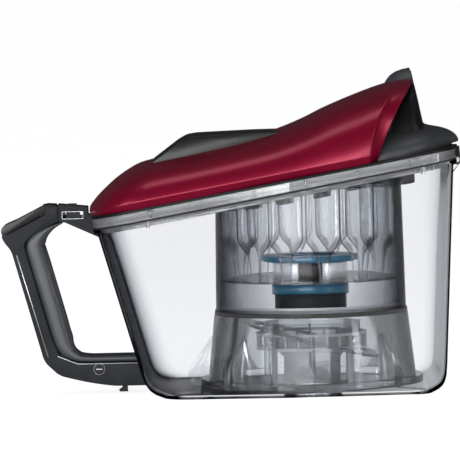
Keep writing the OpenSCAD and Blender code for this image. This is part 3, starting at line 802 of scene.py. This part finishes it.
# %% Crimson shell
FULL = lid_half(0)
nose = [(-163, -163.8, 139.6, 0.55), (-160, -159.5, 146, 0.8), (-153, -152, 153.6, 0.96),
        (-143, -141, 162.8, 1), (-128, -125.7, 171.6, 1)]
sweep = [(-118, -117, 174), (-90, -88, 179.6), (-56, -54, 186.6), (-29, -27.7, 193.2),
         (-8, -5, 201.7), (8, 12, 209.8), (22, 32, 218)]
shell_rows = [(-161.6, -162.6, 136.4, 0.45 * lid_half(-163), 0)]
shell_rows += [(f, x, z, k * lid_half(f), 0) for f, x, z, k in nose]
shell_rows += [(f, x, z, FULL, 0) for f, x, z in sweep]
shell_rows += [(34, 52, 225.2, FULL, -2.5), (43.2, 66.4, 229.4, FULL - 0.3, -5.7),
               (43.6, 67.0, 229.6, FULL - 0.5, -5.8), (44.1, 67.9, 229.8, FULL - 1.2, -5.8),
               (45.2, 70.2, 230.2, FULL - 3.4, -5.6), (47.0, 74.5, 230.8, FULL - 6.4, -4.6),
               (49.2, 78.6, 231.0, FULL - 9.6, -2.4)]
bm = bmesh.new()
arch_sheet(bm, shell_rows, 210, 110)
add_wall(finish_piece("crimson_shell", bm, CRIMSON, "lid", ["lid_shell"],
                      sharp=60))
print("shell stations", len(shell_rows))

# %% [markdown]
# ## Duct and dome
# Behind the crimson edge a black duct rises to the outlet. At the foot of its rear face a low
# charcoal dome runs back to the hinge. Both are bent from a grid, like the shell. The outlet's
# hole is opened by deleting the faces inside its circle and drawing the rim out to it.

# %% Duct and dome
DOME = FULL * 0.98
DUCT_ROWS = [(45, 63, 226.4, 0.90), (48, 66, 226, 0.885), (49.5, 67.6, 224, 0.86),
             (51, 68.6, 221.5, 0.62), (54, 70, 221.5, 0.60), (60, 74.6, 226.4, 0.60),
             (66, 77.4, 228.2, 0.60), (72, 79.6, 228.4, 0.60), (80, 82.2, 218, 0.59),
             (84, 84.6, 206, 0.58), (86, 86.6, 196, 0.57)]
DOME_ROWS = [(45, 49, 187, 0.84), (48, 54, 193.6, 0.87), (56, 64, 195.6, 0.885),
             (70, 78, 196.1, 0.88), (82, 88, 195.9, 0.83), (88, 92, 195, 0.78),
             (97, 101, 193.2, 0.66), (103, 107.6, 190.6, 0.5), (105.6, 111.2, 187.6, 0.36),
             (107, 112.9, 184.6, 0.24), (107.6, 113.0, 183.0, 0.16)]
OUTLET, OUTLET_TILT, OUTLET_R = Vector((81.2, 0, 216.9)), math.radians(9.67), 22.0
OUTLET_AXIS = Vector((math.cos(OUTLET_TILT), 0, math.sin(OUTLET_TILT)))


def open_outlet(bm):
    """Takes the sheet away inside the outlet, and draws the rim of the hole to its circle."""
    def out(v):
        arm = v.co - OUTLET * MM
        return arm - OUTLET_AXIS * arm.dot(OUTLET_AXIS)
    inside = [f for f in bm.faces if all(out(v).length < OUTLET_R * MM for v in f.verts)]
    bmesh.ops.delete(bm, geom=inside, context="FACES")
    for v in bm.verts:
        if v.is_boundary and out(v).length < OUTLET_R * MM:
            v.co += out(v).normalized() * ((OUTLET_R + 0.1) * MM - out(v).length)


for name, rows, material, covers in (
        ("outlet_duct", DUCT_ROWS, BLACK, []),
        ("rear_dome_shell", DOME_ROWS, CHARCOAL, ["rear_dome"])):
    bm = bmesh.new()
    arch_sheet(bm, [(f, x, z, k * DOME, 0) for f, x, z, k in rows], 80, 90, tuck=0.6)
    if name == "outlet_duct":
        open_outlet(bm)
    add_wall(finish_piece(name, bm, material, "lid", covers, sharp=50))

# %% [markdown]
# ## Outlet
# The cleaned air leaves through a round collar that faces the rear and tilts up. The collar
# and its lip seal are turned about their own axis, like work on a lathe, and then placed.

# %% Outlet collar and seal
to_outlet = Matrix.Translation(OUTLET * MM) @ Matrix.Rotation(math.pi / 2 - OUTLET_TILT, 4, "Y")


def turned_piece(name, profile, rounding, material, body, replaces, steps=96,
                 place=Matrix()):
    bm = bmesh.new()
    add_turned(bm, profile, steps=steps, rounding=rounding)
    bmesh.ops.transform(bm, verts=bm.verts, matrix=place)
    finish_piece(name, bm, material, body, replaces)


turned_piece("outlet_collar_ring",
             [(12, -19), (12, -21.4), (13, -21.4), (16.4, -18.6), (19.2, -15.2), (21, -11),
              (21.8, -6), (22, 0), (20.2, 0), (20.2, -1.6), (17, -1.6), (17, -18)],
             0.5, CHARCOAL, "lid", ["outlet_collar"], place=to_outlet)
turned_piece("outlet_lip_seal", [(17.6, -1.5), (20, -1.5), (20, 0.6), (17.6, 0.2)], 0.3, RUBBER,
             "lid", ["outlet_seal"], place=to_outlet)

# %% [markdown]
# A guard of thin bars keeps fingers out of the outlet: a turned ring with a row of boxes.

# %% Outlet grid
GRID_IN, GRID_OUT, GRID_AT, BAR_W, BAR_PITCH = 14.8, 16.9, -3.0, 1.1, 4.2
bm = bmesh.new()
add_turned(bm, ring_profile(GRID_IN, GRID_OUT, GRID_AT - 1, GRID_AT))
for k in range(-3, 4):
    y = k * BAR_PITCH
    reach = math.sqrt(GRID_IN**2 - (abs(y) + BAR_W)**2) + 0.6
    add_box(bm, (-reach, y - BAR_W / 2, GRID_AT - 0.9), (reach, y + BAR_W / 2, GRID_AT - 0.1))
bmesh.ops.transform(bm, verts=bm.verts, matrix=to_outlet)
finish_piece("outlet_bars", bm, BLACK, "lid", ["outlet_grid"])

# %% [markdown]
# ## Centre panel
# A gloss black panel covers the middle of the lid. It is an outline drawn out across the lid,
# with softened edges and a shallow step along its top.

# %% Centre panel
bm = bmesh.new()
add_slab(bm, [(-116.2, 173.4, 1), (-95.4, 188.7, 4), (-90.6, 191), (-86.3, 192.3, 6),
              (-40, 193.7), (-16, 193.9), (-16, 190), (-34, 186), (-56, 180), (-88.4, 172),
              (-112, 167)], 84, edge=1.2)
finish_piece("centre_panel_cover", bm, GLOSS_BLACK, "lid", ["centre_panel"])

# %% [markdown]
# ## The cyclone unit
# A clear drum hangs from the lid. Twelve small cones stand in a ring inside it, and below them
# sit a blue disc, a bright barrel and a blue band. All are round, so they are turned.

# %% Drum
DRUM_R, DRUM_FOOT, DRUM_WALL, DRUM_H = 71.3, 60.3, 2, -3.55


def drum_r(z):
    return DRUM_R - 2 * (z - DRUM_FOOT) / 112


def drum_top(inset):
    def place(i, n):
        a, z = ray_angle(i, n), RIM_Z
        for _ in range(6):
            r = drum_r(z) - inset
            z = rim_at(r * math.cos(a), DRUM_H)
        return r * math.cos(a), r * math.sin(a), z
    return place


bm = bmesh.new()
grow(bm, [round_level(DRUM_R - 1.8, DRUM_FOOT), round_level(DRUM_R - 0.2, DRUM_FOOT),
          round_level(DRUM_R, DRUM_FOOT + 0.3), round_level(drum_r(90), 90),
          round_level(drum_r(120), 120), drum_top(0), drum_top(DRUM_WALL),
          round_level(drum_r(120) - DRUM_WALL, 120), round_level(drum_r(90) - DRUM_WALL, 90),
          round_level(DRUM_R - DRUM_WALL, DRUM_FOOT + 0.3)], count=SMALL_RAYS)
finish_piece("clear_drum", bm, DRUM_CLEAR, "lid", ["cyclone_drum"])

# %% [markdown]
# Each small cone is drawn as a solid clear bottle with a socket for its outlet tube. One is
# turned, then copied round the ring, and the tops are slid up to the slope of the lid.

# %% Cones
CONES, CONE_RING, CONE_R, CONE_TURN, CONE_TOP = 12, 53.6, 12.9, math.radians(10), 134
cone_out = [(CONE_R, CONE_TOP), (CONE_R, 115.5), (12.6, 112.6), (11.6, 110.2), (9.8, 107.6),
            (7.4, 104.8), (5.9, 102.4), (5.0, 99.5), (4.4, 96), (2.9, 81.5)]
cone_profile = [(0, 133), (6.6, 133), (6.6, CONE_TOP)] + cone_out + [(0, 81.5)]
TOP_H, SOCKET_H = -4.2, -9.6


def ring_of(profile, steps, close=True):
    """Copies of one turned part on the ring of cones, their tops cut to the slope of the lid."""
    bm = bmesh.new()
    add_turned(bm, profile, steps=steps, close=close)
    bmesh.ops.translate(bm, verts=bm.verts, vec=(CONE_RING * MM, 0, 0))
    first = bm.verts[:] + bm.edges[:] + bm.faces[:]
    for k in range(1, CONES):
        copy = bmesh.ops.duplicate(bm, geom=first)["geom"]
        bmesh.ops.rotate(bm, verts=verts_in(copy), cent=(0, 0, 0),
                         matrix=Matrix.Rotation(2 * math.pi * k / CONES, 3, "Z"))
    bmesh.ops.rotate(bm, verts=bm.verts, cent=(0, 0, 0),
                     matrix=Matrix.Rotation(CONE_TURN, 3, "Z"))
    for v in bm.verts:
        if v.co.z > (CONE_TOP - 0.1) * MM:
            v.co.z = rim_at(v.co.x / MM, TOP_H) * MM
        elif v.co.z > (CONE_TOP - 1.1) * MM:
            v.co.z = rim_at(v.co.x / MM, SOCKET_H) * MM
    return bm


finish_piece("cyclone_cones", ring_of(cone_profile, 40, close=False), CONE_CLEAR, "lid",
             ["cone_body"])
finish_piece("vortex_tubes", ring_of(ring_profile(5.2, 6.2, 133.4, CONE_TOP), 28), CONE_CLEAR,
             "lid", ["cyclone_top"])

# %% [markdown]
# The core is a stack of rings under the cones. Only the barrel is bright metal, so it alone gets a
# painted reflection, a dark stripe down its middle.

# %% Turned pieces of the core
turned_piece("blue_disc", [(20, 95.4), (34.4, 95.4), (34.4, 96.2), (36, 96.2), (36, 100),
                           (20, 100)], 0.4, BLUE, "lid", ["upper_disc"])
turned_piece("bright_barrel", ring_profile(25, 27.8, 80.4, 95.4), 0.3, SILVER, "lid",
             ["core_barrel"])
turned_piece("blue_band", ring_profile(20, 28.6, 74.6, 80.4), 0.6, BLUE, "lid",
             ["core_band"])
turned_piece("core_base_ring", ring_profile(24, 27, 64.5, 74.6), 0.3, SLATE, "lid",
             ["core_base"])

# %% [markdown]
# ## The dust collector
# In the tub's foot a flared skirt with triangular fins seals against the drum. Air comes in
# through a funnel in the floor, past a ring of small vanes.

# %% Skirt and fins
SKIRT_TOP, SKIRT_R, SKIRT_FOOT_R, SKIRT_T = 57.0, 72.6, 78.5, 2.4


def inside_level(r, z):
    """A circle of radius r at height z, pressed in where the tub's wall is nearer."""
    def place(i, n):
        a = ray_angle(i, n)
        x, y = r * math.cos(a), r * math.sin(a)
        limit = half_w(z) - 3.2 - between(FOOT_ROUND, max(z - FLOOR, 0))
        return x, max(min(y, limit), -limit), z
    return place


def skirt_r(z):
    return SKIRT_FOOT_R - (z - FLOOR) * (SKIRT_FOOT_R - SKIRT_R) / (SKIRT_TOP - FLOOR)


bm = bmesh.new()
grow(bm, [inside_level(r, z) for r, z in (
    (SKIRT_FOOT_R - SKIRT_T, FLOOR), (SKIRT_FOOT_R + 4.6, FLOOR), (SKIRT_FOOT_R + 5, FLOOR + 0.6),
    (SKIRT_FOOT_R + 5, 8.4), (SKIRT_FOOT_R + 4.4, 9), (skirt_r(9) + 0.6, 9), (skirt_r(9.8), 9.8),
    (skirt_r(30), 30), (skirt_r(56.4), 56.4), (SKIRT_R - 0.4, SKIRT_TOP),
    (SKIRT_R - SKIRT_T, SKIRT_TOP), (skirt_r(30) - SKIRT_T, 30))], count=SMALL_RAYS)
finish_piece("collector_skirt", bm, SMOKE, "tub", ["collector_ring"])

bm = bmesh.new()
for a in range(45, 316, 45):
    reach = 84.0 if a in (90, 270) else 93.0
    fin = add_slab(bm, [(skirt_r(10) - 1.0, FLOOR + 0.1), (reach - 3, FLOOR + 0.1),
                        (reach, FLOOR + 4.5), (reach, 14), (SKIRT_R, 43.5),
                        (SKIRT_R - 0.6, 42)], 2, edge=0.3, steps=2)
    bmesh.ops.rotate(bm, verts=fin, cent=(0, 0, 0),
                     matrix=Matrix.Rotation(math.radians(a), 3, "Z"))
finish_piece("collector_fins", bm, SMOKE, "tub")

# %% [markdown]
# A rubber ring on the skirt meets the drum. The funnel is turned from one closed profile, with
# a flange under the floor's hole.

# %% Seal and funnel
turned_piece("collector_lip_seal", ring_profile(66, 72.2, 57.1, 59.9), 0.5, RUBBER,
             "tub", ["collector_seal"], steps=128)
turned_piece("inlet_funnel_tube",
             [(19, 0), (19, 24), (22, 28.4), (27, 34.2), (31.2, 39), (34.4, 44), (34.4, 50),
              (36.6, 50), (36.6, 43), (33, 37.6), (28.6, 32.2), (24, 27), (21.3, 23),
              (21.3, 5.2), (27, 5.2), (27, 3.0), (21.3, 3.0), (21.3, 0)], 0,
             SMOKE, "tub", ["inlet_funnel"])

# %% [markdown]
# ## The handle
# The handle is two mouldings: a dark outer shell and a lighter grip on the inside of the
# opening. The shell is an outline drawn out across Y, with cheeks beside the trigger. The grip
# is an oval section swept down a curve, so it shades like a bar. The linkage, the screws and the
# pin get their real holes, and both mouldings are cut off where they meet the tub.

# %% Cutters inside the handle
HANDLE_W, ROD_TILT = 29.0, math.radians(15.34)
ROD_TOP = (-216.9, 118.6)
LEVER, TRIGGER_PIVOT = (-159.5, 0, 18.4), (-191.5, 0, 137.6)
grip_frame = Matrix.Translation(Vector((-223.2, 0, 108.4)) * MM) @ Matrix.Rotation(
    math.pi / 2 - ROD_TILT, 4, "Y")
rod_frame = Matrix.Translation(Vector((ROD_TOP[0], 0, ROD_TOP[1])) * MM) @ Matrix.Rotation(
    math.pi - ROD_TILT, 4, "Y")


def cut_at_tub(bm):
    """Cuts a handle part off where it meets the tub's front wall."""
    made = bmesh.ops.bisect_plane(
        bm, geom=bm.verts[:] + bm.edges[:] + bm.faces[:], dist=1e-7, clear_outer=True,
        plane_co=(front_x(0) * MM - 0.00015, 0, 0), plane_no=(1, 0, FRONT_TAN))
    bmesh.ops.holes_fill(bm, edges=edges_in(made["geom_cut"]), sides=0)


SLOT_W = 7.2
LINKAGE_CUTS = [
    (add_box, (-3.7, -SLOT_W / 2, -12), (3.7, SLOT_W / 2, 96.5), rod_frame),
    (add_slab, [(-196.6, 20.6), (-180.6, 20.6), (-180.6, 32.2), (-196.6, 32.2)], SLOT_W),
    (add_slab, [(-189.4, 15.2), (-166, 15.2), (-163.6, 10.4), (-152, 9.4), (-147.8, 7),
                (-147.8, 0), (-134.8, 0), (-134.8, 13), (-150, 25.2), (-189.4, 25.2)], SLOT_W)]
PIN_CUTS = [(add_rod, (LEVER[0], -HANDLE_W / 2, LEVER[2]), ACROSS, 4.2, 2.8),
            (add_rod, LEVER, ACROSS, PIN_R, HANDLE_W + 4, 32)]


def add_screw_hole(bm, down, side):
    verts = add_rod(bm, (down, side, 0.8), (0, 0, 1), 3, 3.6, 32)
    bmesh.ops.transform(bm, verts=verts, matrix=grip_frame)


SCREW_CUTS = [(add_screw_hole, down, side) for down in (14, 72) for side in (-9, 9)]

# %% [markdown]
# The shell's outline runs down the outside of the grip and back along the inside. Every corner
# has its own radius, given as the third number of its row.

# %% Shell of the handle
shell_out = [(-230.4, 119.6, 1.5), (-228.8, 115.4, 3), (-223.2, 108.4, 3), (-200.4, 24.6, 4),
             (-189.3, 14.0, 4), (-161, 6.8, 14), (-146.8, 5.6, 8), (-112, 5.6, 0), (-112, 23.0, 0),
             (-174.8, 23.0, 6), (-188.6, 28.2, 9), (-193.6, 38, 12), (-214.2, 113.2, 4),
             (-206.5, 121.5, 6), (-187.8, 129.6, 0), (-187.8, 141.2, 0), (-196.4, 141.2, 0.5),
             (-197.2, 135.0, 0.5), (-225.4, 120.6, 2), (-228.8, 121.0, 1)]
bm = bmesh.new()
add_slab(bm, shell_out, HANDLE_W, edge=2.2, steps=4)
cut_at_tub(bm)
bm = carve(bm, *LINKAGE_CUTS, *PIN_CUTS, *SCREW_CUTS,
           (add_slab, [(-188.2, 132.6), (-188.2, 150), (-232, 150), (-232, 112.9),
                       (-225.6, 112.9), (-200.4, 126.2), (-196.9, 132.2)], HANDLE_W - 8),
           (add_rod, TRIGGER_PIVOT, ACROSS, PIN_R, HANDLE_W + 4))
finish_piece("handle_outer_shell", bm, SLATE, "tub", ["handle_shell"], sharp=40)

# %% [markdown]
# The grip's centre line and its thickness are given at a few points. Loops of vertices are
# placed along the smooth curve through them, each square to the curve.

# %% Grip
grip_rows = [(-185.0, 128.6, 0.9), (-190.5, 126.4, 1.8), (-196.7, 123.0, 3.6), (-202.8, 117.6, 6.4),
             (-205.8, 111.0, 8.0), (-202.0, 95.6, 8.3), (-196.5, 75.5, 8.3), (-191.3, 56.4, 8.3),
             (-187.6, 42.6, 8.3), (-184.8, 35.2, 7.1), (-179.6, 29.6, 5.0), (-172.0, 26.6, 3.4),
             (-162.0, 26.1, 2.9), (-140.0, 26.1, 2.9), (-112.0, 26.1, 2.9)]


BAR_STEPS, BAR_RAYS, OVAL, NEAR = 160, 56, 0.62, 0.05


def add_bar(bm, rows, half_width):
    """A bar of oval section along rows of (x, z, half thickness)."""
    last = len(rows) - 1
    tables = [[(k, row[j]) for k, row in enumerate(rows)] for j in range(3)]

    def at(t):
        return [between(table, min(max(t, 0), last)) for table in tables]

    def section(t):
        x, z, half = at(t)
        (x0, z0, _), (x1, z1, _) = at(t - NEAR), at(t + NEAR)
        along = Vector((x1 - x0, 0, z1 - z0)).normalized()

        def place(i, n):
            c, s = math.cos(2 * math.pi * i / n), math.sin(2 * math.pi * i / n)
            over = math.copysign(abs(c)**OVAL, c) * half
            wide = math.copysign(abs(s)**OVAL, s) * half_width
            return x - along.z * over, wide, z + along.x * over
        return place
    grow(bm, [section(k * last / BAR_STEPS) for k in range(BAR_STEPS + 1)], count=BAR_RAYS,
         close=False)
    close_ends(bm)


bm = bmesh.new()
add_bar(bm, grip_rows, HANDLE_W / 2 - 0.2)
cut_at_tub(bm)
bm = carve(bm, *LINKAGE_CUTS)
finish_piece("grip_liner_body", bm, GRIP, "tub", ["grip_liner"], sharp=40)

# %% [markdown]
# Thin bright lines where the two mouldings meet are painted highlights, standing in for the light
# that the seam catches, and a frame stands round the latch's window. They are slabs and boxes that
# stand just proud of the shell. The lever's pin shows as a slotted head with a bright ring.

# %% Painted highlight lines and window frame
HIGHLIGHT_LINE_W, HIGHLIGHT_LINE_PROUD, FRAME_W = 0.7, 0.12, 0.3
WINDOW = (-184.4, 131.6, -169.2, 136.6)
# Painted highlight lines along the seams of the two mouldings.
highlight_lines = [[(-219.6, 105.2), (-197.8, 28.0), (-197.8 + HIGHLIGHT_LINE_W, 28.2), (-219.6 + HIGHLIGHT_LINE_W, 105.4)],
         [(-190.6, 28.4), (-175.4, 22.2), (-129.6, 22.2), (-129.6, 22.2 + HIGHLIGHT_LINE_W),
          (-175.2, 22.2 + HIGHLIGHT_LINE_W), (-190.2, 29.0)]]
x0, z0, x1, z1 = WINDOW
a0, b0, a1, b1 = x0 - FRAME_W, z0 - FRAME_W, x1 + FRAME_W, z1 + FRAME_W
bm = bmesh.new()
for side in (-1, 1):
    for line in highlight_lines:
        add_slab(bm, line, 0.5, middle=side * (HANDLE_W / 2 - 0.25 + HIGHLIGHT_LINE_PROUD), edge=0.1,
                 steps=2)
    y = side * (HANDLE_W / 2 - 1.5)
    for left, foot, right, top in ((a0, b0, a1, z0), (a0, z1, a1, b1), (a0, z0, x0, z1),
                                   (x1, z0, a1, z1)):
        add_box(bm, (left, y - 0.1, foot), (right, y + 0.1, top))
finish_piece("handle_trim_and_highlights", bm, TRIM_AND_HIGHLIGHT, "tub")

# %% Pin heads
PIN_HEAD_R, RING_IN_R = 4.1, 3.5
bm = bmesh.new()
for side in (-1, 1):
    head = Vector((LEVER[0], side * (HANDLE_W / 2 - 0.7), LEVER[2]))
    ring = add_turned(bm, ring_profile(RING_IN_R, PIN_HEAD_R, -0.5, 0.5), 64)
    bmesh.ops.transform(bm, verts=ring, matrix=Matrix.Translation(head * MM)
                        @ Matrix.Rotation(math.pi / 2, 4, "X"))
    slot = Vector((2.4, 0.4, 0.35))
    add_box(bm, head - slot, head + slot)
finish_piece("pin_rings", bm, TRIM_AND_HIGHLIGHT, "tub")

# %% [markdown]
# The trigger is a gloss black thumb plate. A lug under it goes round the pivot pin.

# %% Trigger
bm = bmesh.new()
trigger_out = [(-230.9, 122.2, 1.5), (-230.2, 125.8, 2), (-227.1, 128.1, 1), (-219, 131.4, 0),
               (-197.4, 142.2, 0.6), (-197.4, 135.6, 0.6), (-225.4, 121.1, 1), (-226.8, 119, 1),
               (-229.6, 119.4, 1)]
add_slab(bm, trigger_out, HANDLE_W - 9, edge=1.6, steps=4)
finish_piece("trigger_plate", bm, GLOSS_BLACK, "trigger_lever", ["trigger"])

bm = bmesh.new()
add_slab(bm, [(-199, 142), (-195.1, 142.7), (-189, 142.3), (-189, 134.8), (-191.2, 133.6),
              (-199, 133.6)], HANDLE_W - 9.4, edge=0.5, steps=2)
bm = carve(bm, (add_rod, TRIGGER_PIVOT, ACROSS, PIN_R + 0.05, HANDLE_W))
finish_piece("trigger_lug", bm, BLACK, "trigger_lever")

# %% [markdown]
# The upper arm is a box round the sliding latch, with a window on each side. It is cut from one
# slab: a pocket for the slider, the windows, a way out for the bolt and a slot for its knob.

# %% Latch housing
bm = bmesh.new()
add_slab(bm, [(-187.6, 129.8), (-187.6, 142.2), (-165.4, 140.0), (-165.4, 134.4),
              (-162.6, 133.4), (-161.2, 127.4), (-160.4, 124.4), (-160.4, 120.8),
              (-140, 120.8), (-140, 112.4), (-157, 116.9), (-182.6, 128.7)], HANDLE_W - 3)
cut_at_tub(bm)
bm = carve(bm,
           (add_slab, [(-186.2, 130.4), (-168, 130.4), (-168, 138.2), (-186.2, 138.2)], 11.2),
           (add_slab, [(x0, z0), (x1, z0), (x1, z1), (x0, z1)], HANDLE_W),
           (add_slab, [(-170, 126.8), (-156, 126.8), (-156, 134.6), (-170, 134.6)], 9.2),
           (add_box, (-185, -2.6, 135), (-169, 2.6, 145)))
finish_piece("latch_housing_box", bm, SLATE, "tub", ["latch_housing"])

# %% [markdown]
# ## Springs
# A spring is one small circle swept along a coil.

# %% Springs
STEPS_PER_TURN = 24


def add_coil(bm, foot, axis, r, wire, length, turns):
    """A coil from foot along axis, its two ends closed."""
    steps = turns * STEPS_PER_TURN
    turn = Matrix.Rotation(math.pi / 2, 4, "X")
    bmesh.ops.create_circle(bm, segments=12, radius=wire * MM,
                            matrix=Matrix.Translation((r * MM, 0, wire * MM)) @ turn)
    rise = (length - 2 * wire) * MM / steps
    bmesh.ops.spin(bm, geom=bm.verts[:] + bm.edges[:], cent=(0, 0, 0), axis=(0, 0, 1),
                   dvec=(0, 0, rise), angle=2 * math.pi * turns, steps=steps)
    close_ends(bm)
    place = Matrix.Translation(Vector(foot) * MM) @ Vector(axis).to_track_quat(
        "Z", "Y").to_matrix().to_4x4()
    bmesh.ops.transform(bm, verts=bm.verts, matrix=place)


lean = math.radians(26.9)
for name, node, foot, axis, coil, joint, keep in (
        ("trigger_coil", "trigger_spring", (-206.2, 0, 123.4), (-math.sin(lean), 0, math.cos(lean)),
         (2.4, 0.45, 6.9, 4), "trigger_press", 0.45),
        ("latch_coil", "latch_spring", (-186.1, 0, 134.2), (1, 0, 0),
         (2.2, 0.4, 4.2, 4), "latch_slide", 0.12)):
    bm = bmesh.new()
    add_coil(bm, foot, axis, *coil)
    piece = finish_piece(name, bm, STEEL, "tub", [node])
    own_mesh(piece)

# %% [markdown]
# ## Finishes of the CAD's own parts
# The pins and screws, the linkage and some small parts inside keep their CAD shapes, since they
# are plain or hardly seen. Only their finish is set.

# %% Carried-over parts
CARRIED = {
    STEEL: ["hinge_pin", "handle_screws", "lid_screws"],
    BLACK: ["lever_pin", "trigger_pin", "lid_hinge_arms", "lock_lever", "latch_slider"],
    PALE: ["pull_rod", "vane_ring", "bottom_plate"],
    SMOKE: ["dust_baffle", "tip_plate"],
    DRUM_CLEAR: ["wedge_collar"],
}
for material, names in CARRIED.items():
    for name in names:
        data = nodes[name].data
        data.materials.clear()
        data.materials.append(material)
print("carried over:", sum(len(names) for names in CARRIED.values()))
